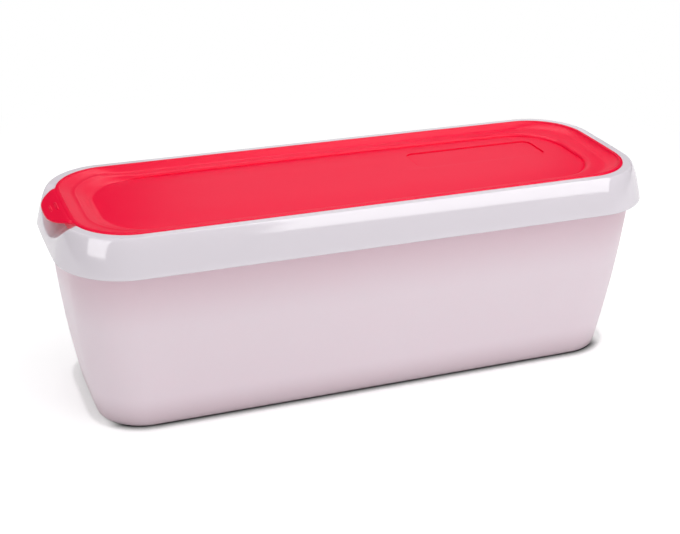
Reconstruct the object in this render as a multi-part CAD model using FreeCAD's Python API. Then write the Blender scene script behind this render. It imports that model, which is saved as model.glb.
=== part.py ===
import FreeCAD, Part
import math
import os

# A long reusable ice cream tub, shut: a tapered frosted body, a glossy rim band round its top
# and a soft lid that sits in the band and has a lifting tab over a finger notch.
# Millimetres, +Z up, +X along the tub, the tab at the -X end, origin at the centre of the base.

# Rim band: its length, width and corner are those of its lower edge, where it is widest
rim_length = 330.0
rim_width = 118.0
rim_corner = 36.7
rim_height = 19.7
rim_ledge = 109.5         # height of the flat ledge round the lid above the ground
rim_flare = 10.2          # how far the lower edge stands out past the lid's edge
ledge_width = 4.1
shoulder_power = 1.57     # 1 is a straight slope, more is a rounder shoulder
rim_edge = 0.8            # rounding of the lower edge
end_bow = 1200.0          # radius of the slightly bowed ends
side_bow = 40000.0        # radius of the nearly straight sides

# Body below the band
rim_overhang = 6.1        # how far the band stands out past the body under it
body_corner = 30.8
base_corner = 25.1
end_draft = 11.5          # how far the ends come in from the band to the base
side_draft = 8.0
end_bulge = 2.0           # how far the walls bow out at half height
side_bulge = 0.4
base_edge = 2.0           # rounding of the base's edge

# Lid
lid_corner = 29.8
lid_depth = 8.5           # from the ledge down to the lid's underside
lip_rise = 0.6            # how far the lip stands above the ledge
lip_width = 2.2
lip_round = 1.2           # width of the rounding on the lip's outer side
lip_bevel = 0.4           # bevel on its inner side
floor_depth = 4.2         # the lid's floor below the ledge
floor_corner = 24.0
floor_side_bow = 2700.0
side_margin = 12.7        # from the lid's edge to the floor
end_margin = 16.0
wall_share = 0.24         # of the margin is the lip's hollow inner wall
wall_drop = 1.9           # how far that wall falls from the top of the lip
step_share = 0.2          # of the margin is the last step down to the floor
step_drop = 1.2

# Shallow field on the lid's floor, in the far corner from the tab
field_length = 81.0
field_width = 24.0
field_corner = 5.0
field_depth = 0.5
field_end_gap = 15.3      # from the floor's edges
field_side_gap = 10.5

# Tab, and the finger notch in the band under it
tab_reach = 10.6
tab_half_width = 24.0
tab_thickness = 1.6
tab_slope = 16.5          # degrees down from level
tab_rise = 0.2            # its upper face above the ledge, at the lid's edge
tab_root = 1.2            # how far it runs on inside the lid's edge
tab_tip_power = 3.2
tab_flare_power = 1.6
tab_edge = 0.6
ridge_radius = 0.9
ridge_rise = 0.4
ridges = {3.2: 11.0, 6.2: 9.0}    # distance out from the lid's edge: length
notch_depth = 8.9         # below the ledge, at the lid's edge
notch_side_gap = 6.6      # between the tab and the notch's sides
notch_slope = 27.5        # degrees down from level

cut_margin = 1.0          # how far a cutting shape runs past what it cuts

# What follows from them
rim_underside = rim_ledge - rim_height
lid_half_length = rim_length / 2 - rim_flare
lid_half_width = rim_width / 2 - rim_flare
body_half_length = rim_length / 2 - rim_overhang
body_half_width = rim_width / 2 - rim_overhang
lid_underside = rim_ledge - lid_depth
lid_top = rim_ledge + lip_rise
floor_height = rim_ledge - floor_depth
floor_half_length = lid_half_length - end_margin
floor_half_width = lid_half_width - side_margin


def outline(half_length, half_width, corner, z, sides=side_bow):
    """Closed outline at height z: bowed ends and sides joined by tangent corner arcs."""
    end = FreeCAD.Vector(half_length - end_bow, 0)
    side = FreeCAD.Vector(0, half_width - sides)
    between = side - end
    end_reach = end_bow - corner
    side_reach = sides - corner
    along = (end_reach**2 - side_reach**2 + between.Length**2) / (2 * between.Length)
    across = math.sqrt(end_reach**2 - along**2)
    ahead = FreeCAD.Vector(between).normalize()
    aside = FreeCAD.Vector(-ahead.y, ahead.x)
    centre = end + ahead * along + aside * across
    to_end = (centre - end).normalize()
    to_side = (centre - side).normalize()
    on_end = centre + to_end * corner
    on_side = centre + to_side * corner
    middle = centre + (to_end + to_side).normalize() * corner
    half_turn = [
        (on_end.x, -on_end.y),
        (half_length, 0),
        (on_end.x, on_end.y),
        (middle.x, middle.y),
        (on_side.x, on_side.y),
        (0, half_width),
        (-on_side.x, on_side.y),
        (-middle.x, middle.y),
        (-on_end.x, on_end.y),
    ]
    edges = []
    for turn in (1, -1):
        stops = [FreeCAD.Vector(turn * x, turn * y, z) for x, y in half_turn]
        for first in range(0, len(stops) - 1, 2):
            edges.append(Part.Arc(*stops[first : first + 3]).toShape())
    return Part.Wire(edges)


def loft(wires, ruled=False):
    return Part.makeLoft(wires, True, ruled)


def quarter(steps=4):
    """Sine and one minus cosine at even steps through a quarter turn."""
    angles = [i / steps * math.pi / 2 for i in range(steps + 1)]
    return [(math.sin(angle), 1 - math.cos(angle)) for angle in angles]


def rounded_foot(make_outline, foot, radius):
    """A lower edge rounded from the flat underside at height foot out to the wall above."""
    return loft([make_outline(foot + radius * c, radius * (1 - s)) for s, c in quarter()])


def lid_seat(low, high):
    """The space inside the band, which the lid and the top of the body fill."""
    foot = Part.Face(outline(lid_half_length, lid_half_width, lid_corner, low))
    return foot.extrude(FreeCAD.Vector(0, 0, high - low))


def body_outline(z, inset=0):
    share = 1 - z / rim_underside
    ends = end_draft * share - 4 * end_bulge * share * (1 - share) + inset
    sides = side_draft * share - 4 * side_bulge * share * (1 - share) + inset
    corner = body_corner + (base_corner - body_corner) * share - inset
    return outline(body_half_length - ends, body_half_width - sides, corner, z)


def tub_body():
    levels = 5
    rise = (rim_underside - base_edge) / levels
    wall = loft([body_outline(base_edge + rise * i) for i in range(levels + 1)])
    foot = rounded_foot(body_outline, 0, base_edge)
    neck = lid_seat(rim_underside, lid_underside)
    return wall.fuse(foot).fuse(neck)


def rim_outline(z, inset):
    """Outline of the band where it stands in from its lower edge by inset."""
    corner = rim_corner + (lid_corner - rim_corner) * inset / rim_flare
    return outline(rim_length / 2 - inset, rim_width / 2 - inset, corner, z)


def finger_notch():
    """A cylinder that lies along the tub, falls outwards and cuts the band's end."""
    half_width = tab_half_width + notch_side_gap
    radius = (half_width**2 + notch_depth**2) / (2 * notch_depth)
    slope = math.radians(notch_slope)
    outward = FreeCAD.Vector(-math.cos(slope), 0, -math.sin(slope))
    upright = FreeCAD.Vector(-math.sin(slope), 0, math.cos(slope))
    low_line = FreeCAD.Vector(-lid_half_length, 0, rim_ledge - notch_depth)
    start = low_line + upright * radius - outward * rim_flare
    return Part.makeCylinder(radius, 3 * rim_flare, start, outward)


def rim_band():
    levels = 10
    face_height = rim_height - rim_edge
    face_width = rim_flare - ledge_width
    wires = []
    for i in range(levels + 1):
        share = 1 - i / levels
        z = rim_ledge - face_height * share**shoulder_power
        wires.append(rim_outline(z, face_width * (1 - share)))
    band = loft(wires).fuse(rounded_foot(rim_outline, rim_underside, rim_edge))
    band = band.cut(lid_seat(rim_underside - cut_margin, rim_ledge + cut_margin))
    return band.cut(finger_notch())


def lid_outline(share, z):
    """Outline at a share of the way from the lid's edge in to its floor."""
    length = lid_half_length - end_margin * share
    width = lid_half_width - side_margin * share
    corner = lid_corner + (floor_corner - lid_corner) * share
    bow = 1 / ((1 - share) / side_bow + share / floor_side_bow)
    return outline(length, width, corner, z, bow)


def lid_dish():
    """The hollow inside the lip: a steep wall, a gentle margin and a soft last step."""
    lip_share = lip_width / side_margin
    wall_end = lip_share + wall_share
    step_start = 1 - step_share
    wall_foot = lid_top - wall_drop
    step_top = floor_height + step_drop
    levels = [(lip_share - lip_bevel / side_margin, lid_top + lip_bevel)]
    for s, c in quarter():
        levels.append((lip_share + wall_share * c, lid_top - wall_drop * s))
    levels.append(((wall_end + step_start) / 2, (wall_foot + step_top) / 2))
    for s, c in quarter(3):
        levels.append((step_start + step_share / 2 * s, step_top - step_drop / 2 * c))
    for s, c in reversed(quarter(3)[:-1]):
        levels.append((1 - step_share / 2 * s, floor_height + step_drop / 2 * c))
    return loft([lid_outline(share, z) for share, z in reversed(levels)], ruled=True)


def label_field():
    plate = Part.makeBox(field_length, field_width, floor_depth)
    corner = FreeCAD.Vector(
        floor_half_length - field_end_gap - field_length,
        floor_half_width - field_side_gap - field_width,
        floor_height - field_depth,
    )
    plate.translate(corner)
    upright = [e for e in plate.Edges if abs(e.tangentAt(e.FirstParameter).z) > 0.99]
    return plate.makeFillet(field_corner, upright)


def lid_tab():
    """A rounded lobe that starts inside the lid's edge and slopes down over the notch."""
    steps = 12
    tip = []
    for i in range(-steps, steps + 1):
        across = abs(i) / steps
        out = tab_reach * (1 - across**tab_tip_power) ** tab_flare_power
        tip.append(FreeCAD.Vector(-out, tab_half_width * i / steps, 0))
    curve = Part.BSplineCurve()
    curve.interpolate(tip)
    corners = [tip[-1]]
    corners += [FreeCAD.Vector(tab_root, p.y, 0) for p in (tip[-1], tip[0])]
    corners += [tip[0]]
    sides = [Part.makeLine(a, b) for a, b in zip(corners, corners[1:])]
    plate = Part.Face(Part.Wire([curve.toShape()] + sides))
    tab = plate.extrude(FreeCAD.Vector(0, 0, -tab_thickness))
    curved = [e for e in tab.Edges if e.Curve.TypeId == "Part::GeomBSplineCurve"]
    tab = tab.makeFillet(tab_edge, curved)
    for out, length in ridges.items():
        start = FreeCAD.Vector(-out, -length / 2, ridge_rise - ridge_radius)
        ridge = Part.makeCylinder(ridge_radius, length, start, FreeCAD.Vector(0, 1, 0))
        tab = tab.fuse(ridge)
    tab.rotate(FreeCAD.Vector(), FreeCAD.Vector(0, 1, 0), -tab_slope)
    tab.translate(FreeCAD.Vector(-lid_half_length, 0, rim_ledge + tab_rise))
    return tab


def lid():
    plate = lid_seat(lid_underside, rim_ledge)
    lip_levels = []
    for s, c in quarter():
        lip_levels.append(lid_outline(lip_round * c / side_margin, rim_ledge + lip_rise * s))
    cap = plate.fuse(loft(lip_levels)).fuse(lid_tab())
    return cap.cut(lid_dish()).cut(label_field())


os.makedirs("parts", exist_ok=True)
for name, make in {"tub_body": tub_body, "rim_band": rim_band, "lid": lid}.items():
    shape = make().removeSplitter()
    print(name, "solids", len(shape.Solids), "valid", shape.isValid(), "volume", shape.Volume)
    shape.Solids[0].exportStep(f"parts/{name}.step")
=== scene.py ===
import math

import bmesh
import bpy
import numpy as np
from mathutils import Matrix, Vector


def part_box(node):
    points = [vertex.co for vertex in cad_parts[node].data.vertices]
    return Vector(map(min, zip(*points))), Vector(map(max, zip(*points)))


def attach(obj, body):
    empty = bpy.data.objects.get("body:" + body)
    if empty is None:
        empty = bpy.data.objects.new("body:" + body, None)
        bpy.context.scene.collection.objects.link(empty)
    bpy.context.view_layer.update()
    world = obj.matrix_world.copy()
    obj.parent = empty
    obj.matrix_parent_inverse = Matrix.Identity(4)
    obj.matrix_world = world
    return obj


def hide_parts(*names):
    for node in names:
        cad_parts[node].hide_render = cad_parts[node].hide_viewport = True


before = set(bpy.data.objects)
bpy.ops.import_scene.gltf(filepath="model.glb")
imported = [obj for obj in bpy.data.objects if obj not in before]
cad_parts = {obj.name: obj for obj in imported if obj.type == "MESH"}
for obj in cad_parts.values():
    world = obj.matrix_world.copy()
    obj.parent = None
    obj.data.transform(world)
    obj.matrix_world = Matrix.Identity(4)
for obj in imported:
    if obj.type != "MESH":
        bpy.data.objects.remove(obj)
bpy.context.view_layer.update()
mm = 0.001  # the pieces' values are in millimetres and degrees, the studio's in metres and degrees
mergeWithin = 0.002 * mm  # points nearer than this are one
sharpAngle = math.radians(50)

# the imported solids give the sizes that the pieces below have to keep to
bodyLow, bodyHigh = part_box("tub_body")
rimLow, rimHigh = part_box("rim_band")
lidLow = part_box("lid")[0]


def put(tree, kind, inputs=None, **settings):
    node = tree.nodes.new(kind)
    for name, value in settings.items():
        setattr(node, name, value)
    for socket, value in (inputs or {}).items():
        if isinstance(value, bpy.types.NodeSocket):
            tree.links.new(value, node.inputs[socket])
        else:
            node.inputs[socket].default_value = value
    return node


def calc(tree, operation, *values):
    return put(tree, "ShaderNodeMath", dict(enumerate(values)), operation=operation).outputs[0]


def addSockets(tree, direction, sockets):
    for name, kind, value in sockets:
        socket = tree.interface.new_socket(name, in_out=direction, socket_type="NodeSocket" + kind)
        if value is not None:
            socket.default_value = value


def mapRange(tree, value, low, high, kind="LINEAR"):
    inputs = {"Value": value, "From Min": low, "From Max": high}
    return put(tree, "ShaderNodeMapRange", inputs, interpolation_type=kind).outputs[0]


def emptyTree(holder):
    holder.use_nodes = True
    holder.node_tree.nodes.clear()
    return holder.node_tree


def newObject(name, data):
    thing = bpy.data.objects.new(name, data)
    bpy.context.scene.collection.objects.link(thing)
    return thing


def pointCloud(name, points):
    mesh = bpy.data.meshes.new(name)
    mesh.from_pydata([tuple(p) for p in points], [], [])
    return newObject(name, mesh)


def applyTree(host, tree, values):
    # runs a geometry tree on a host object and returns the result as a plain mesh
    modifier = host.modifiers.new("shape", "NODES")
    modifier.node_group = tree
    for item in tree.interface.items_tree:
        if item.in_out == "INPUT" and item.name in values:
            modifier[item.identifier] = values[item.name]
    bpy.context.view_layer.update()
    evaluated = host.evaluated_get(bpy.context.evaluated_depsgraph_get())
    mesh = bpy.data.meshes.new_from_object(evaluated)
    bpy.data.objects.remove(host)
    return mesh


def finishMesh(mesh):
    # closes what is open, turns the faces outwards and shades the mesh smooth
    work = bmesh.new()
    work.from_mesh(mesh)
    bmesh.ops.remove_doubles(work, verts=work.verts, dist=mergeWithin)
    bmesh.ops.dissolve_degenerate(work, dist=mergeWithin / 2, edges=work.edges)
    openEdges = [edge for edge in work.edges if edge.is_boundary]
    if openEdges:
        bmesh.ops.holes_fill(work, edges=openEdges, sides=0)
    bmesh.ops.recalc_face_normals(work, faces=work.faces)
    work.to_mesh(mesh)
    work.free()
    mesh.shade_smooth()
    mesh.set_sharp_from_angle(angle=sharpAngle)
    return mesh


# outlines are rounded rectangles with slightly bowed ends and sides
outlineSteps = {"end": 32, "corner": 36, "side": 80}  # points on half an end, a corner, half a side


def outlineRing(halfLength, halfWidth, corner, endBow, sideBow):
    # starts at the middle of the +X end and runs anticlockwise; every ring has the same count
    end = np.array([halfLength - endBow, 0.0])
    side = np.array([0.0, halfWidth - sideBow])
    span = np.linalg.norm(side - end)
    ahead = (side - end) / span
    endReach, sideReach = endBow - corner, sideBow - corner
    along = (endReach**2 - sideReach**2 + span**2) / (2 * span)
    across = math.sqrt(endReach**2 - along**2)
    centre = end + ahead * along + np.array([-ahead[1], ahead[0]]) * across
    endTurn = math.atan2(centre[1] - end[1], centre[0] - end[0])
    sideTurn = math.atan2(centre[1] - side[1], centre[0] - side[0])
    stretches = [
        (end, endBow, 0.0, endTurn, outlineSteps["end"]),
        (centre, corner, endTurn, sideTurn, outlineSteps["corner"]),
        (side, sideBow, sideTurn, math.pi / 2, outlineSteps["side"]),
    ]
    quarter = []
    for middle, radius, first, last, count in stretches:
        for turn in np.linspace(first, last, count, endpoint=False):
            quarter.append(middle + radius * np.array([math.cos(turn), math.sin(turn)]))
    half = quarter + [np.array([0.0, halfWidth])]
    half += [point * (-1, 1) for point in reversed(quarter[1:])]
    return np.array(half + [-point for point in half])


def roundedCorner(steps):
    turns = [i / steps * math.pi / 2 for i in range(steps + 1)]
    return [(math.sin(turn), 1 - math.cos(turn)) for turn in turns]


def endTree(tree, last, finish):
    real = put(tree, "GeometryNodeRealizeInstances", {"Geometry": last.outputs[0]})
    painted = put(tree, "GeometryNodeSetMaterial", {
        "Geometry": real.outputs[0], "Material": finish,
    })
    put(tree, "NodeGroupOutput", {"Geometry": painted.outputs[0]})


def makeSkinTree():
    # a skin between two outlines that follows a profile. x and y of a profile point say how far
    # the skin has come from the first outline to the second, along the tub and across it, and z
    # is its height. A cylinder that lies along the tub and falls outwards presses a notch into
    # the skin at the -X end
    tree = bpy.data.node_groups.new("skinBetweenOutlines", "GeometryNodeTree")
    addSockets(tree, "INPUT", [
        ("Geometry", "Geometry", None),
        ("First outline", "Object", None),
        ("Second outline", "Object", None),
        ("Profile", "Object", None),
        ("Notch low line", "Float", 10.0),
        ("Notch edge", "Float", 0.0),
        ("Notch radius", "Float", 1.0),
        ("Notch slope", "Float", 0.5),
        ("Notch softness", "Float", 0.0001),
        ("Finish", "Material", None),
    ])
    addSockets(tree, "OUTPUT", [("Geometry", "Geometry", None)])
    given = put(tree, "NodeGroupInput").outputs
    first, second, profile = [
        put(tree, "GeometryNodeObjectInfo", {"Object": given[name]}).outputs["Geometry"]
        for name in ("First outline", "Second outline", "Profile")
    ]
    roundCount, levelCount = [
        put(tree, "GeometryNodeAttributeDomainSize", {0: shape}, component="MESH").outputs[0]
        for shape in (first, profile)
    ]
    closingColumn = calc(tree, "ADD", roundCount, 1.0)
    grid = put(tree, "GeometryNodeMeshGrid", {"Vertices X": closingColumn, "Vertices Y": levelCount})
    index = put(tree, "GeometryNodeInputIndex").outputs[0]
    level = calc(tree, "FLOORED_MODULO", index, levelCount)
    columnCount = calc(tree, "FLOOR", calc(tree, "DIVIDE", index, levelCount))
    column = calc(tree, "FLOORED_MODULO", columnCount, roundCount)
    place = put(tree, "GeometryNodeInputPosition").outputs[0]

    def sample(geometry, at):
        node = put(tree, "GeometryNodeSampleIndex", data_type="FLOAT_VECTOR", domain="POINT")
        tree.links.new(geometry, node.inputs[0])
        tree.links.new(place, node.inputs[1])
        tree.links.new(at, node.inputs[2])
        return put(tree, "ShaderNodeSeparateXYZ", {0: node.outputs[0]}).outputs

    startAt, endAt, share = sample(first, column), sample(second, column), sample(profile, level)
    x, y = [
        put(tree, "ShaderNodeMix", {0: part, 2: start, 3: end}, clamp_factor=False).outputs[0]
        for part, start, end in zip(share[:2], startAt, endAt)
    ]
    # height of the notch's surface over x, y
    fromEdge = calc(tree, "ADD", x, given["Notch edge"])
    fall = calc(tree, "MULTIPLY", fromEdge, calc(tree, "TANGENT", given["Notch slope"]))
    squaredRadius = calc(tree, "POWER", given["Notch radius"], 2.0)
    room = calc(tree, "SUBTRACT", squaredRadius, calc(tree, "MULTIPLY", y, y))
    centreHeight = calc(tree, "SQRT", calc(tree, "MAXIMUM", room, 0.0))
    sag = calc(tree, "SUBTRACT", given["Notch radius"], centreHeight)
    upright = calc(tree, "DIVIDE", sag, calc(tree, "COSINE", given["Notch slope"]))
    notch = calc(tree, "ADD", calc(tree, "ADD", given["Notch low line"], fall), upright)
    z = calc(tree, "SMOOTH_MIN", share[2], notch, given["Notch softness"])
    spot = put(tree, "ShaderNodeCombineXYZ", {0: x, 1: y, 2: z}).outputs[0]
    placed = put(tree, "GeometryNodeSetPosition", {"Geometry": grid.outputs["Mesh"], "Position": spot})
    merged = put(tree, "GeometryNodeMergeByDistance", {
        "Geometry": placed.outputs[0], "Distance": mergeWithin,
    })
    endTree(tree, merged, given["Finish"])
    return tree


skinTree = makeSkinTree()


def makeSkin(name, firstRing, secondRing, profile, finish, notch=None):
    helpers = [
        pointCloud(name + "First", [(x, y, 0) for x, y in firstRing]),
        pointCloud(name + "Second", [(x, y, 0) for x, y in secondRing]),
        pointCloud(name + "Profile", profile),
    ]
    values = dict(zip(("First outline", "Second outline", "Profile"), helpers))
    values.update(notch or {})
    values["Finish"] = finish
    mesh = applyTree(pointCloud(name + "Host", [(0, 0, 0)]), skinTree, values)
    for helper in helpers:
        bpy.data.objects.remove(helper)
    mesh.name = name
    return finishMesh(mesh)


def makeGrain():
    # the fine matte or polished texture that the mould leaves, as a height and a change of
    # roughness. Scales are in cells per metre
    tree = bpy.data.node_groups.new("mouldGrain", "ShaderNodeTree")
    addSockets(tree, "INPUT", [
        ("Fine scale", "Float", 2500.0),
        ("Broad scale", "Float", 40.0),
        ("Roughness", "Float", 0.5),
        ("Roughness change", "Float", 0.05),
        ("Broad share", "Float", 0.3),
    ])
    addSockets(tree, "OUTPUT", [(name, "Float", None) for name in ("Height", "Roughness", "Cloud")])
    given = put(tree, "NodeGroupInput").outputs
    place = put(tree, "ShaderNodeTexCoord").outputs["Object"]
    fine, broad = [
        put(tree, "ShaderNodeTexNoise", {
            "Vector": place, "Scale": given[scale], "Detail": detail,
        }).outputs[0]
        for scale, detail in (("Fine scale", 2.0), ("Broad scale", 3.0))
    ]
    height = calc(tree, "MULTIPLY_ADD", broad, given["Broad share"], fine)
    mean = calc(tree, "MULTIPLY", calc(tree, "ADD", fine, broad), 0.5)
    centred = calc(tree, "SUBTRACT", mean, 0.5)
    rough = calc(tree, "MULTIPLY_ADD", centred, given["Roughness change"], given["Roughness"])
    put(tree, "NodeGroupOutput", {"Height": height, "Roughness": rough, "Cloud": broad})
    return tree


grainGroup = makeGrain()


def newFinish(name):
    finish = bpy.data.materials.new(name)
    tree = emptyTree(finish)
    shader = put(tree, "ShaderNodeBsdfPrincipled")
    put(tree, "ShaderNodeOutputMaterial", {"Surface": shader.outputs[0]})
    return finish, tree, shader


def addGrain(tree, shader, values):
    grain = put(tree, "ShaderNodeGroup", node_tree=grainGroup)
    for name, value in values["grain"].items():
        grain.inputs[name].default_value = value
    bump = put(tree, "ShaderNodeBump", {
        "Strength": values["bump"],
        "Distance": values["bumpDepth"] * mm,
        "Height": grain.outputs["Height"],
    })
    tree.links.new(bump.outputs[0], shader.inputs["Normal"])
    tree.links.new(grain.outputs["Roughness"], shader.inputs["Roughness"])
    return grain.outputs["Cloud"]


def colourRamp(tree, factor, stops):
    ramp = put(tree, "ShaderNodeValToRGB", {"Fac": factor})
    ramp.color_ramp.interpolation = "EASE"
    elements = ramp.color_ramp.elements
    while len(elements) < len(stops):
        elements.new(0.5)
    for element, (position, colour) in zip(elements, stops):
        element.position = position
        element.color = (*colour, 1.0)
    return ramp.outputs[0]


def heightShare(tree, low, high):
    place = put(tree, "ShaderNodeTexCoord").outputs["Object"]
    z = put(tree, "ShaderNodeSeparateXYZ", {0: place}).outputs[2]
    return mapRange(tree, z, low, high)


def mixColour(tree, factor, first, second):
    node = put(tree, "ShaderNodeMix", {0: factor}, data_type="RGBA")
    for socket, value in ((6, first), (7, second)):
        if isinstance(value, bpy.types.NodeSocket):
            tree.links.new(value, node.inputs[socket])
        else:
            node.inputs[socket].default_value = (*value, 1.0)
    return node.outputs[2]


bodyFinish = {
    "foot": (0.71, 0.565, 0.62),  # painted shade: the wall is darker where it comes down to the base
    # the wall's own pale colour, with a painted pink glow of the red lid through it
    "middle": (0.87, 0.74, 0.805),
    "paintedShadeAndGlowUnderBand": (0.79, 0.59, 0.66),  # painted shadow of the band's overhang and a painted red glow of the lid through the wall
    # the colours' places, as shares of the wall's height
    "stops": ((0.0, "foot"), (0.2, "middle"), (0.6, "middle"), (0.98, "paintedShadeAndGlowUnderBand")),
    "milk": (0.80, 0.76, 0.80),
    "milkShare": 0.12,
    "grain": {"Fine scale": 1800.0, "Broad scale": 14.0, "Roughness": 0.42, "Roughness change": 0.12},
    "bump": 0.25,
    "bumpDepth": 0.05,
    "scatter": 0.2,
    "scatterReach": 4.0,
    "scatterColour": (1.0, 0.75, 0.8),
    "ior": 1.49,
}


def makeBodyFinish():
    finish, tree, shader = newFinish("frostedShell")
    cloud = addGrain(tree, shader, bodyFinish)
    share = heightShare(tree, bodyLow.z, rimLow.z)
    # painted shade and glow by height: the wall is darker at the foot and darker and redder under the
    # band
    wall = colourRamp(tree, share, [(at, bodyFinish[name]) for at, name in bodyFinish["stops"]])
    milkShare = calc(tree, "MULTIPLY", cloud, bodyFinish["milkShare"])
    milky = mixColour(tree, milkShare, wall, bodyFinish["milk"])
    tree.links.new(milky, shader.inputs["Base Color"])
    shader.inputs["Subsurface Weight"].default_value = bodyFinish["scatter"]
    shader.inputs["Subsurface Radius"].default_value = bodyFinish["scatterColour"]
    shader.inputs["Subsurface Scale"].default_value = bodyFinish["scatterReach"] * mm
    shader.inputs["IOR"].default_value = bodyFinish["ior"]
    return finish


rimFinish = {
    "colour": (0.81, 0.755, 0.815),
    "second": (0.78, 0.76, 0.80),
    "secondShare": 0.15,
    "grain": {
        "Fine scale": 900.0, "Broad scale": 60.0, "Broad share": 1.0,
        "Roughness": 0.09, "Roughness change": 0.05,
    },
    "bump": 0.04,
    "bumpDepth": 0.05,
    "ior": 1.49,
}
lidFinish = {
    "colour": (0.91, 0.001, 0.044),
    "second": (0.86, 0.001, 0.036),
    "secondShare": 0.2,
    "grain": {"Fine scale": 2600.0, "Broad scale": 30.0, "Roughness": 0.33, "Roughness change": 0.15},
    "bump": 0.35,
    "bumpDepth": 0.06,
    "ior": 1.3,
}


def makeCloudedFinish(name, values):
    # one colour that drifts a little towards a second
    finish, tree, shader = newFinish(name)
    cloud = addGrain(tree, shader, values)
    share = calc(tree, "MULTIPLY", cloud, values["secondShare"])
    colour = mixColour(tree, share, values["colour"], values["second"])
    tree.links.new(colour, shader.inputs["Base Color"])
    shader.inputs["IOR"].default_value = values["ior"]
    return finish


bodyMaterial = makeBodyFinish()
rimMaterial = makeCloudedFinish("polishedRim", rimFinish)
lidMaterial = makeCloudedFinish("softRedLid", lidFinish)
print("finishes ready")

rim = {
    "flare": 10.2,  # from the lower edge in to the lid's edge
    "ledge": 4.1,
    "corner": 36.7,
    "lidCorner": 29.8,
    "endBow": 1200.0,
    "sideBow": 40000.0,
    "shoulderPower": 1.57,
    "edge": 0.8,  # rounding of the lower edge
    "innerEdge": 0.25,  # rounding beside the lid
    "underParts": (1.0, 0.8),  # of the flare, rings of the flat underside
    "shoulderLevels": 32,
    "shoulderCrowding": 1.4,  # above 1 the levels stand closer towards the ledge
    "ledgeParts": (0.2, 0.4, 0.6, 0.8, 0.9),
    "innerDrops": (1.0, 3.0, 6.0, 10.0),  # below the ledge, beside the lid
    "notchDepth": 8.9,
    "notchHalfWidth": 30.6,
    "notchSlope": 27.5,
    "notchSoftness": 2.2,
}
rimHalfLength, rimHalfWidth = rimHigh.x, rimHigh.y
lidEdgeX = rimHalfLength - rim["flare"] * mm
lidEdgeY = rimHalfWidth - rim["flare"] * mm
ledgeZ = rimHigh.z
bows = (rim["endBow"] * mm, rim["sideBow"] * mm)
rimRing = outlineRing(rimHalfLength, rimHalfWidth, rim["corner"] * mm, *bows)
lidRing = outlineRing(lidEdgeX, lidEdgeY, rim["lidCorner"] * mm, *bows)


def makeRim():
    flare, edge = rim["flare"], rim["edge"]
    bottom, top = rimLow.z, ledgeZ
    rise = top - bottom - edge * mm
    run = flare - rim["ledge"]
    points = [(flare * part, bottom) for part in rim["underParts"]] + [(edge * 2, bottom)]
    points += [(edge * (1 - s), bottom + edge * c * mm) for s, c in roundedCorner(6)]
    count = rim["shoulderLevels"]
    for i in range(1, count + 1):
        share = (1 - i / count) ** rim["shoulderCrowding"]
        points.append((run * (1 - share), top - rise * share ** rim["shoulderPower"]))
    points += [(run + rim["ledge"] * part, top) for part in rim["ledgeParts"]]
    rounding = rim["innerEdge"]
    points += [(flare - rounding * (1 - s), top - rounding * c * mm) for s, c in roundedCorner(3)]
    points += [(flare, top - drop * mm) for drop in rim["innerDrops"]]
    points.append((flare, bottom))
    profile = [(inset / flare, inset / flare, z) for inset, z in points]
    notchRadius = (rim["notchHalfWidth"] ** 2 + rim["notchDepth"] ** 2) / (2 * rim["notchDepth"])
    notch = {
        "Notch low line": ledgeZ - rim["notchDepth"] * mm,
        "Notch edge": lidEdgeX,
        "Notch radius": notchRadius * mm,
        "Notch slope": math.radians(rim["notchSlope"]),
        "Notch softness": rim["notchSoftness"] * mm,
    }
    return newObject("rimBand", makeSkin("rimBand", rimRing, lidRing, profile, rimMaterial, notch))


rimPiece = makeRim()
print("rim band made", len(rimPiece.data.polygons), "faces")

body = {
    "overhang": 6.1,  # of the band past the wall under it
    "corner": 30.8,
    "baseCorner": 25.1,
    "endDraft": 11.5,
    "sideDraft": 8.0,
    "endBulge": 2.0,
    "sideBulge": 0.4,
    "baseEdge": 1.0,
    "neckInset": 4.6,  # the hidden neck inside the band
    "soleInsets": (3.0, 1.0),  # rings of the flat base, in from its rounded edge
    "wallLevels": 24,
}


def makeBody():
    topX = rimHalfLength - body["overhang"] * mm
    topY = rimHalfWidth - body["overhang"] * mm
    top = outlineRing(topX, topY, body["corner"] * mm, *bows)
    footX, footY = topX - body["endDraft"] * mm, topY - body["sideDraft"] * mm
    foot = outlineRing(footX, footY, body["baseCorner"] * mm, *bows)
    wallTop = rimLow.z

    def wall(z, inset=0.0):
        share = 1 - z / wallTop
        swell = 4 * share * (1 - share)
        ends = body["endDraft"] * share - body["endBulge"] * swell + inset
        sides = body["sideDraft"] * share - body["sideBulge"] * swell + inset
        return 1 - ends / body["endDraft"], 1 - sides / body["sideDraft"], z

    edge = body["baseEdge"]
    profile = [wall(0.0, edge + inset) for inset in body["soleInsets"]]
    profile += [wall(edge * c * mm, edge * (1 - s)) for s, c in roundedCorner(8)]
    count = body["wallLevels"]
    profile += [wall(edge * mm + (wallTop - edge * mm) * i / count) for i in range(1, count + 1)]
    shoulder = wall(wallTop, body["neckInset"])
    profile += [shoulder, (shoulder[0], shoulder[1], bodyHigh.z)]
    return newObject("tubShell", makeSkin("tubShell", foot, top, profile, bodyMaterial))


bodyPiece = makeBody()
print("tub body made", len(bodyPiece.data.polygons), "faces")

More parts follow.
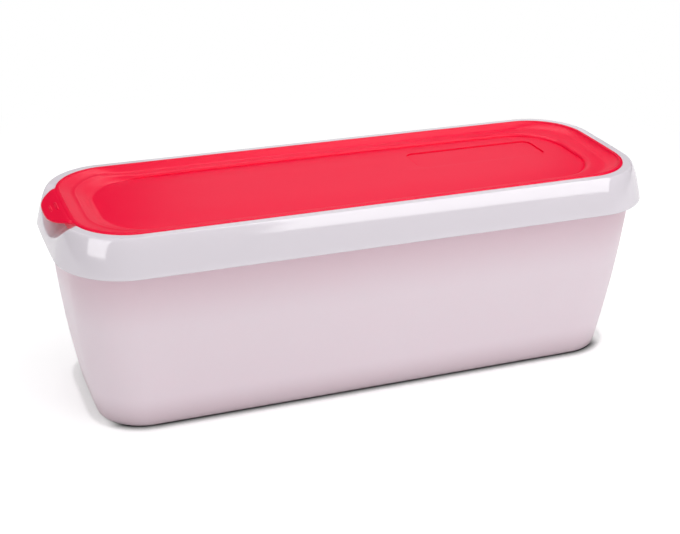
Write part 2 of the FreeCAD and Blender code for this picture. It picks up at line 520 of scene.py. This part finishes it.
# the lid's parts from the outside in: side, bead, wall, margin, step, floor and shallow field
lid = {
    "undersideInset": 6.0,
    "lowerEdge": 1.0,  # the flat underside begins this far in
    "sideFoot": 3.0,  # plain lower part of the side
    "beadRise": 0.6,  # above the band's ledge
    "beadWidth": 2.2,
    "beadRound": 0.9,
    "beadInnerRound": 0.25,
    "endMargin": 17.7,  # from the lid's edge to its floor
    "sideMargin": 11.5,
    "floorDepth": 4.2,  # of its outer edge, below the ledge
    "floorCrown": 0.7,  # the floor's middle above its edge
    "endRoll": 38.0,  # the floor rolls down to its edge over this distance
    "sideRoll": 22.0,
    "floorCorner": 27.0,
    "floorSideBow": 5000.0,
    "wallShare": 0.37,  # of the way from the bead to the floor
    "wallBend": 0.75,  # of the wall's share, from where it levels out
    "wallParts": (0.15, 0.3, 0.45, 0.6, 0.75, 0.85, 0.95, 1.05, 1.15, 1.25),
    "wallDrop": 3.05,
    "tabWallDrop": 1.8,  # at the tab's end
    "marginParts": (0.33, 0.67, 1.0),
    "stepShare": 0.215,  # width of the step down to the floor
    "tabStepShare": 0.49,  # at the tab's end it is wide and soft
    "stepDrop": 1.7,
    "tabStepDrop": 2.7,
    "endsFrom": 116.0,  # the ends' own profiles begin this far from the middle
    "endsRun": 24.0,
    "floorParts": (0.01, 0.03, 0.06, 0.1, 0.14, 0.19, 0.25, 0.33, 0.42, 0.53, 0.66, 0.8, 0.92),
}
tab = {
    "reach": 9.9,
    "halfWidth": 25.5,
    "tipPower": 3.2,
    "flarePower": 1.3,
    "thickness": 1.2,
    "edge": 0.45,
    "rootDrop": 0.1,  # below the bead's top, at the lid's edge
    "flat": 1.7,  # runs on level this far, then bends down
    "bendSoftness": 0.8,
    "slope": 17.5,
    "ridges": ((2.9, 10.8), (5.9, 7.5)),  # distance out from the lid's edge, length
    "ridgeRadius": 0.7,
    "ridgeRise": 0.45,
    "ridgeSquareness": 0.35,  # of the bars, where 1 is a ball
    "rootFade": 2.5,  # a tab shorter than this meets the side gradually
    "rings": {"under": 12, "edge": 9, "top": 16},
}
field = {
    "length": 79.0,
    "width": 24.0,
    "corner": 5.0,
    "depth": 0.6,
    "edge": 0.12,
    "groove": 0.9,  # width of the fine groove round the field's foot
    "grooveDepth": 0.4,
    "endGap": 14.6,
    "sideGap": 11.8,
    "innerParts": (0.15, 0.4, 0.65, 0.85),
    "halvings": 40,  # of the search for its outline
}
crestZ = ledgeZ + lid["beadRise"] * mm
floorZ = ledgeZ - lid["floorDepth"] * mm
floorX = lidEdgeX - lid["endMargin"] * mm
floorY = lidEdgeY - lid["sideMargin"] * mm
rootTop = crestZ - tab["rootDrop"] * mm


def edgeRing(inset):
    # the lid's outline, drawn in by a distance
    x, y = lidEdgeX - inset * mm, lidEdgeY - inset * mm
    return outlineRing(x, y, (rim["lidCorner"] - inset) * mm, *bows)


def marginRing(share):
    # a ring at a share of the way from the bead in to the floor
    bead = lid["beadWidth"]
    corner = rim["lidCorner"] - bead
    corner += (lid["floorCorner"] - corner) * share
    bow = 1 / ((1 - share) / rim["sideBow"] + share / lid["floorSideBow"])
    return outlineRing(
        lidEdgeX - (bead + (lid["endMargin"] - bead) * share) * mm,
        lidEdgeY - (bead + (lid["sideMargin"] - bead) * share) * mm,
        corner * mm, rim["endBow"] * mm, bow * mm,
    )


def easeInOut(part):
    return part ** 2 * (3 - 2 * part)


def tabReach(y):
    across = np.clip(np.abs(y) / (tab["halfWidth"] * mm), 0, 1)
    return tab["reach"] * mm * (1 - across ** tab["tipPower"]) ** tab["flarePower"]


def tabFall(out):
    # how far the tab has come down at a distance out from the lid's edge
    past = out - tab["flat"] * mm
    bent = (past + np.hypot(past, tab["bendSoftness"] * mm)) / 2
    return bent * math.tan(math.radians(tab["slope"]))


def level(ring, z):
    return np.column_stack([ring, np.broadcast_to(z, len(ring))])


# how far the tab reaches out at each point of the lid's edge, and whether there is a tab
tabOut = np.where(lidRing[:, 0] < 0, tabReach(lidRing[:, 1]), 0.0)
onTab = np.clip(tabOut / (tab["rootFade"] * mm), 0, 1)


def sideLevels():
    return [
        level(edgeRing(lid["undersideInset"]), lidLow.z),
        level(edgeRing(lid["lowerEdge"]), lidLow.z),
        level(lidRing, lidLow.z),
        level(lidRing, lidLow.z + lid["sideFoot"] * mm),
    ]


def tabLevels():
    # the tab's underside, edge and top, which fall together where there is no tab
    thickness = tab["thickness"] * mm
    rounding = np.minimum(tab["edge"] * mm, tabOut * 0.5)
    flat = tabOut - rounding
    sideTop = ledgeZ + (rootTop - ledgeZ) * onTab

    def outward(out, drop):
        ring = lidRing - np.column_stack([out, np.zeros(len(out))])
        return level(ring, sideTop - drop - tabFall(out) + tabFall(0.0))

    rings = tab["rings"]
    levels = [outward(flat * part, thickness) for part in np.linspace(0, 1, rings["under"])]
    for turn in np.linspace(0, math.pi, rings["edge"])[1:-1]:
        drop = thickness / 2 * (1 + math.cos(turn))
        levels.append(outward(flat + rounding * math.sin(turn), drop))
    levels += [outward(flat * part, 0.0) for part in np.linspace(1, 0, rings["top"])]
    return levels


def beadLevels():
    # rounded on the outside, where it rises from the ledge or from the tab, with a sharper edge
    # on the inside
    levels = []
    for s, c in roundedCorner(6)[1:]:
        plain = ledgeZ + lid["beadRise"] * mm * s
        tabbed = rootTop + (crestZ - rootTop) * s
        levels.append(level(edgeRing(lid["beadRound"] * c), plain + (tabbed - plain) * onTab))
    inner = lid["beadInnerRound"]
    for s, c in roundedCorner(4):
        levels.append(level(edgeRing(lid["beadWidth"] - inner * (1 - s)), crestZ - inner * c * mm))
    return levels


def wallLevels():
    # a wall inclined along the sides and hollow at the plain end, then a margin and a rounded step
    # down to the floor's edge. At the tab's end the wall is lower and the step wide and soft
    along = lidRing[:, 0] / mm
    plainEnd, tabEnd = [
        easeInOut(np.clip((side * along - lid["endsFrom"]) / lid["endsRun"], 0, 1))
        for side in (1, -1)
    ]
    wallDrop = lid["wallDrop"] + (lid["tabWallDrop"] - lid["wallDrop"]) * tabEnd
    stepDrop = lid["stepDrop"] + (lid["tabStepDrop"] - lid["stepDrop"]) * tabEnd
    inner, lastPart = lid["beadInnerRound"], lid["wallParts"][-1]
    levels = []
    for part in lid["wallParts"]:
        straight = part - max(part - lid["wallBend"], 0) ** 2
        fallen = straight + (1 - (1 - part / lastPart) ** 2 - straight) * plainEnd
        drop = inner + (wallDrop - inner) * fallen
        levels.append(level(marginRing(lid["wallShare"] * part), crestZ - drop * mm))

    def stepRing(side, end):
        # at one share of the way along the sides and at another at the tab's end
        return marginRing(side) * (1 - tabEnd[:, None]) + marginRing(end) * tabEnd[:, None]

    wallEnd = lid["wallShare"] * lastPart
    starts = (1 - lid["stepShare"], 1 - lid["tabStepShare"])
    wallFoot, stepTop = crestZ - wallDrop * mm, floorZ + stepDrop * mm
    for part in lid["marginParts"]:
        ring = stepRing(*[wallEnd + (start - wallEnd) * part for start in starts])
        levels.append(level(ring, wallFoot + (stepTop - wallFoot) * part))
    for s, c in roundedCorner(8)[1:]:
        ring = stepRing(*[start + (1 - start) * s for start in starts])
        fallen = c * (1 - tabEnd) + easeInOut(s) * tabEnd
        levels.append(level(ring, stepTop - stepDrop * fallen * mm))
    return levels


def floorHeight(points):
    # the floor is level in the middle and rolls down to its edge
    fromEnd = np.abs(points[:, 0]) - floorX + lid["endRoll"] * mm
    fromSide = np.abs(points[:, 1]) - floorY + lid["sideRoll"] * mm
    alongRoll = np.clip(fromEnd / (lid["endRoll"] * mm), 0, 1) ** 2
    acrossRoll = np.clip(fromSide / (lid["sideRoll"] * mm), 0, 1) ** 2
    return floorZ + lid["floorCrown"] * mm * (1 - alongRoll) * (1 - acrossRoll)


def fieldRing(grow):
    # outline of the shallow field, grown by a distance, with a point towards each point of the
    # floor's edge
    half = np.array([field["length"], field["width"]]) / 2 * mm
    centre = np.array([floorX - field["endGap"] * mm, floorY - field["sideGap"] * mm]) - half
    spokes = marginRing(1.0) - centre
    radius = field["corner"] * mm
    near, far = np.zeros(len(spokes)), np.ones(len(spokes))
    for _ in range(field["halvings"]):
        share = (near + far) / 2
        past = np.maximum(np.abs(spokes * share[:, None]) - half + radius, 0)
        outside = np.hypot(past[:, 0], past[:, 1]) > radius + grow
        far = np.where(outside, share, far)
        near = np.where(outside, near, share)
    return centre + spokes * near[:, None]


def floorLevels():
    # from the floor's edge in to the shallow field, with a fine groove round the field's foot
    foot, fieldEdge = marginRing(1.0), fieldRing(0.0)
    rings = [foot + (fieldEdge - foot) * part for part in lid["floorParts"]]
    levels = [level(ring, floorHeight(ring)) for ring in rings]
    edge, groove, depth = field["edge"], field["groove"], field["depth"]
    lower = depth + field["grooveDepth"]
    # distance out from the field's outline, and depth
    profile = (
        (edge * 2, 0.0),
        (edge * 0.5, depth * 0.02),
        (0.0, depth * 0.3),
        (-edge * 0.5, lower * 0.98),
        (-edge, lower),
        (-groove * 0.6, lower),
        (-groove, depth),
        (-groove - edge, depth),
    )
    for grow, down in profile:
        ring = fieldRing(grow * mm)
        levels.append(level(ring, floorHeight(ring) - down * mm))
    last, middle = ring, fieldEdge.mean(axis=0)
    for part in field["innerParts"]:
        ring = last + (middle - last) * part
        levels.append(level(ring, floorHeight(ring) - depth * mm))
    return levels


def addRings(work, levels):
    rows = [[work.verts.new(point) for point in points] for points in levels]
    count = len(rows[0])
    for low, high in zip(rows, rows[1:]):
        for i in range(count):
            j = (i + 1) % count
            work.faces.new((low[i], low[j], high[j], high[i]))
    return rows


def makeLid():
    work = bmesh.new()
    levels = sideLevels() + tabLevels() + beadLevels() + wallLevels() + floorLevels()
    rows = addRings(work, levels)
    work.faces.new(list(reversed(rows[0])))
    work.faces.new(rows[-1])
    mesh = bpy.data.meshes.new("softLid")
    work.to_mesh(mesh)
    work.free()
    mesh.materials.append(lidMaterial)
    return newObject("softLid", finishMesh(mesh))


lidPiece = makeLid()
print("lid made", len(lidPiece.data.polygons), "faces")


def makeRidgeTree():
    # one bar with rounded ends on each point
    tree = bpy.data.node_groups.new("gripRidges", "GeometryNodeTree")
    addSockets(tree, "INPUT", [
        ("Geometry", "Geometry", None),
        ("Radius", "Float", 0.001),
        ("Slope", "Float", 0.3),
        ("Squareness", "Float", 1.0),
        ("Finish", "Material", None),
    ])
    addSockets(tree, "OUTPUT", [("Geometry", "Geometry", None)])
    given = put(tree, "NodeGroupInput").outputs
    length = put(tree, "GeometryNodeInputNamedAttribute", {"Name": "ridgeLength"}, data_type="FLOAT")
    ball = put(tree, "GeometryNodeMeshUVSphere", {"Segments": 24, "Rings": 16, "Radius": 1.0})
    place = put(tree, "GeometryNodeInputPosition").outputs[0]
    parts = put(tree, "ShaderNodeSeparateXYZ", {0: place}).outputs
    # a ball pulled into a bar with rounded ends: its two halves move apart along y
    outwards = calc(tree, "POWER", calc(tree, "ABSOLUTE", parts[1]), given["Squareness"])
    pulled = calc(tree, "MULTIPLY", calc(tree, "SIGN", parts[1]), outwards)
    spot = put(tree, "ShaderNodeCombineXYZ", {0: parts[0], 1: pulled, 2: parts[2]}).outputs[0]
    bar = put(tree, "GeometryNodeSetPosition", {"Geometry": ball.outputs["Mesh"], "Position": spot})
    lean = calc(tree, "MULTIPLY", given["Slope"], -1.0)
    turn = put(tree, "ShaderNodeCombineXYZ", {1: lean}).outputs[0]
    radius, half = given["Radius"], calc(tree, "MULTIPLY", length.outputs[0], 0.5)
    size = put(tree, "ShaderNodeCombineXYZ", {0: radius, 1: half, 2: radius}).outputs[0]
    bars = put(tree, "GeometryNodeInstanceOnPoints", {
        "Points": given["Geometry"], "Instance": bar.outputs[0], "Rotation": turn, "Scale": size,
    })
    endTree(tree, bars, given["Finish"])
    return tree


def makeRidges():
    sink = (tab["ridgeRise"] - tab["ridgeRadius"]) * mm
    slope = math.radians(tab["slope"])
    top = rootTop + tabFall(0.0) + sink
    spots = [(-lidEdgeX - out * mm, 0, top - tabFall(out * mm)) for out, length in tab["ridges"]]
    host = pointCloud("ridgeSpots", spots)
    lengths = host.data.attributes.new("ridgeLength", "FLOAT", "POINT")
    lengths.data.foreach_set("value", [length * mm for out, length in tab["ridges"]])
    mesh = applyTree(host, makeRidgeTree(), {
        "Radius": tab["ridgeRadius"] * mm,
        "Slope": slope,
        "Squareness": tab["ridgeSquareness"],
        "Finish": lidMaterial,
    })
    mesh.name = "gripRidges"
    return newObject("gripRidges", finishMesh(mesh))


ridgePiece = makeRidges()
print("grip ridges made")

# each piece with the solid that it stands for and the slot of its finish
for piece, node, slot in (
    (bodyPiece, "tub_body", "frosted_body"),
    (rimPiece, "rim_band", "white_rim"),
    (lidPiece, "lid", "red_lid"),
    (ridgePiece, None, "red_lid"),
):
    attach(piece, "root")
    if node:
        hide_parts(node)

studio = {
    "floorSize": 6.0,
    "floorColour": 0.86,
    "floorGlow": 0.34,  # lifts the open floor to white where the camera or a gloss sees it
    "shadowReach": 6.2,  # millimetres that the dark line along the foot runs out
    "shadowFrom": 0.44,  # openness of the floor that still looks black
    "shadowSamples": 12,
    "shadowEnds": (0.136, 0.147),  # between these distances from the middle the line grows faint
    "shadowEndOpen": 0.78,
    "fadeStart": 0.2,
    "fadeEnd": 0.5,
    "worldLight": 0.15,
    "cameraPlace": (-0.253553, -0.640152, 0.366298),
    "cameraTurn": (65.5035, -0.9586, -20.8577),
    "lens": 71.676,
    "sensorWidth": 36.0,
    "nearLimit": 0.01,
}
# name, corner, direction of the lower edge, direction upwards, width, height, shine, cast
softboxes = (
    ("frontStrip", (0.302, -1.271, 0.383), (0.937, 0.286, -0.201), (-0.103, 0.775, 0.624),
     0.65, 1.5, 5.7, 1.14),
    ("leftStrip", (-1.408, -0.352, 0.239), (0.493, -0.868, 0.056), (0.532, 0.352, 0.769),
     0.68, 0.75, 5.4, 0.36),
    ("backPanel", (0.827, 1.075, 0.1), (-0.934, 0.356, 0), (0, 0, 1), 0.69, 0.8, 0.54, 0.0),
    ("highPanel", (0.73, 0.87, 1.05), (-0.934, 0.356, 0), (-0.25, -0.655, 0.8), 0.74, 0.9, 3.6, 0.0),
    ("roomTop", (-1.6, -1.6, 2.2), (1, 0, 0), (0, 1, 0), 3.2, 3.2, 0.0, 1.13),
    ("roomFront", (-1.5, -1.8, 0.02), (1, 0, 0), (0, 0, 1), 3.0, 2.2, 0.0, 0.55),
    ("roomBack", (1.5, 1.8, 0.02), (-1, 0, 0), (0, 0, 1), 3.0, 2.2, 0.0, 0.6),
    ("roomLeft", (-1.8, 1.5, 0.02), (0, -1, 0), (0, 0, 1), 3.0, 2.2, 0.0, 0.38),
    ("roomRight", (1.8, -1.5, 0.02), (0, 1, 0), (0, 0, 1), 3.0, 2.2, 0.0, 0.06),
)


def makeSheet(name, corners):
    mesh = bpy.data.meshes.new(name)
    mesh.from_pydata(corners, [], [(0, 1, 2, 3)])
    return newObject(name, mesh)


def makeFloor():
    half = studio["floorSize"] / 2
    corners = [(-half, -half, 0), (half, -half, 0), (half, half, 0), (-half, half, 0)]
    floor = makeSheet("studioFloor", corners)
    finish = bpy.data.materials.new("paleFloor")
    tree = emptyTree(finish)
    # close to the foot hardly any light gets in, so the floor has a thin dark line there
    reach, samples = studio["shadowReach"] * mm, studio["shadowSamples"]
    closeBy = put(tree, "ShaderNodeAmbientOcclusion", {"Distance": reach}, samples=samples)
    openness = mapRange(tree, closeBy.outputs["AO"], studio["shadowFrom"], 1.0)
    place = put(tree, "ShaderNodeTexCoord").outputs["Object"]
    fromMiddle = calc(tree, "ABSOLUTE", put(tree, "ShaderNodeSeparateXYZ", {0: place}).outputs["X"])
    atEnd = mapRange(tree, fromMiddle, *studio["shadowEnds"], "SMOOTHSTEP")
    openness = calc(tree, "MAXIMUM", openness, calc(tree, "MULTIPLY", atEnd, studio["shadowEndOpen"]))
    shade = calc(tree, "MULTIPLY", openness, studio["floorColour"])
    grey = put(tree, "ShaderNodeCombineColor", {0: shade, 1: shade, 2: shade}).outputs[0]
    matte = put(tree, "ShaderNodeBsdfDiffuse", {"Color": grey})
    rays = put(tree, "ShaderNodeLightPath").outputs
    seen = calc(tree, "MAXIMUM", rays["Is Camera Ray"], rays["Is Glossy Ray"])
    lift = calc(tree, "MULTIPLY", calc(tree, "MULTIPLY", seen, openness), studio["floorGlow"])
    glow = put(tree, "ShaderNodeEmission", {"Strength": lift})
    near = put(tree, "ShaderNodeAddShader", {0: matte.outputs[0], 1: glow.outputs[0]})
    # away from the tub the floor runs out into plain white
    distance = put(tree, "ShaderNodeVectorMath", {0: place}, operation="LENGTH").outputs["Value"]
    fade = mapRange(tree, distance, studio["fadeStart"], studio["fadeEnd"], "SMOOTHSTEP")
    white = put(tree, "ShaderNodeEmission", {"Strength": 1.0})
    both = put(tree, "ShaderNodeMixShader", {
        0: calc(tree, "MULTIPLY", fade, seen), 1: near.outputs[0], 2: white.outputs[0],
    })
    put(tree, "ShaderNodeOutputMaterial", {"Surface": both.outputs[0]})
    floor.data.materials.append(finish)


def makeWorld():
    world = bpy.data.worlds.new("studioWorld")
    bpy.context.scene.world = world
    tree = emptyTree(world)
    # the camera sees white, and a gloss sees the softboxes alone
    inView = put(tree, "ShaderNodeLightPath").outputs["Is Camera Ray"]
    strength = calc(tree, "MAXIMUM", inView, studio["worldLight"])
    lit = put(tree, "ShaderNodeBackground", {"Color": (1, 1, 1, 1), "Strength": strength})
    put(tree, "ShaderNodeOutputWorld", {"Surface": lit.outputs[0]})
    world.cycles_visibility.glossy = False


def addSoftbox(name, corner, along, up, width, height, shine, cast):
    # a rectangle that starts at a corner. Its shine is how bright it looks in a gloss, and its
    # cast how bright it is as a lamp, where 1 is white paper
    corner, along, up = Vector(corner), Vector(along).normalized(), Vector(up)
    up = (up - along * up.dot(along)).normalized()
    if cast:
        light = bpy.data.lights.new(name, "AREA")
        light.shape = "RECTANGLE"
        light.size, light.size_y = width, height
        light.energy = cast * math.pi * width * height
        lamp = newObject(name, light)
        turn = Matrix((along, up, along.cross(up))).transposed().to_4x4()
        turn.translation = corner + along * width / 2 + up * height / 2
        lamp.matrix_world = turn
        lamp.visible_camera = lamp.visible_glossy = False
    if shine:
        # a glowing sheet that only a gloss sees, and that isn't sampled as a lamp
        far = corner + up * height
        sheet = makeSheet(name + "Sheet", [corner, corner + along * width, far + along * width, far])
        glow = bpy.data.materials.new(name + "Glow")
        tree = emptyTree(glow)
        glow.cycles.emission_sampling = "NONE"
        lit = put(tree, "ShaderNodeEmission", {"Color": (1, 1, 1, 1), "Strength": shine})
        put(tree, "ShaderNodeOutputMaterial", {"Surface": lit.outputs[0]})
        sheet.data.materials.append(glow)
        sheet.visible_camera = sheet.visible_diffuse = sheet.visible_shadow = False
        sheet.visible_transmission = sheet.visible_volume_scatter = False


def makeCamera():
    camera = bpy.data.cameras.new("camera")
    camera.sensor_width = studio["sensorWidth"]
    camera.lens = studio["lens"]
    camera.clip_start = studio["nearLimit"]
    holder = newObject("camera", camera)
    holder.location = studio["cameraPlace"]
    holder.rotation_euler = [math.radians(turn) for turn in studio["cameraTurn"]]
    bpy.context.scene.camera = holder


makeFloor()
makeWorld()
makeCamera()
for softbox in softboxes:
    addSoftbox(*softbox)
bpy.context.scene.view_settings.view_transform = "Standard"
print("studio ready")
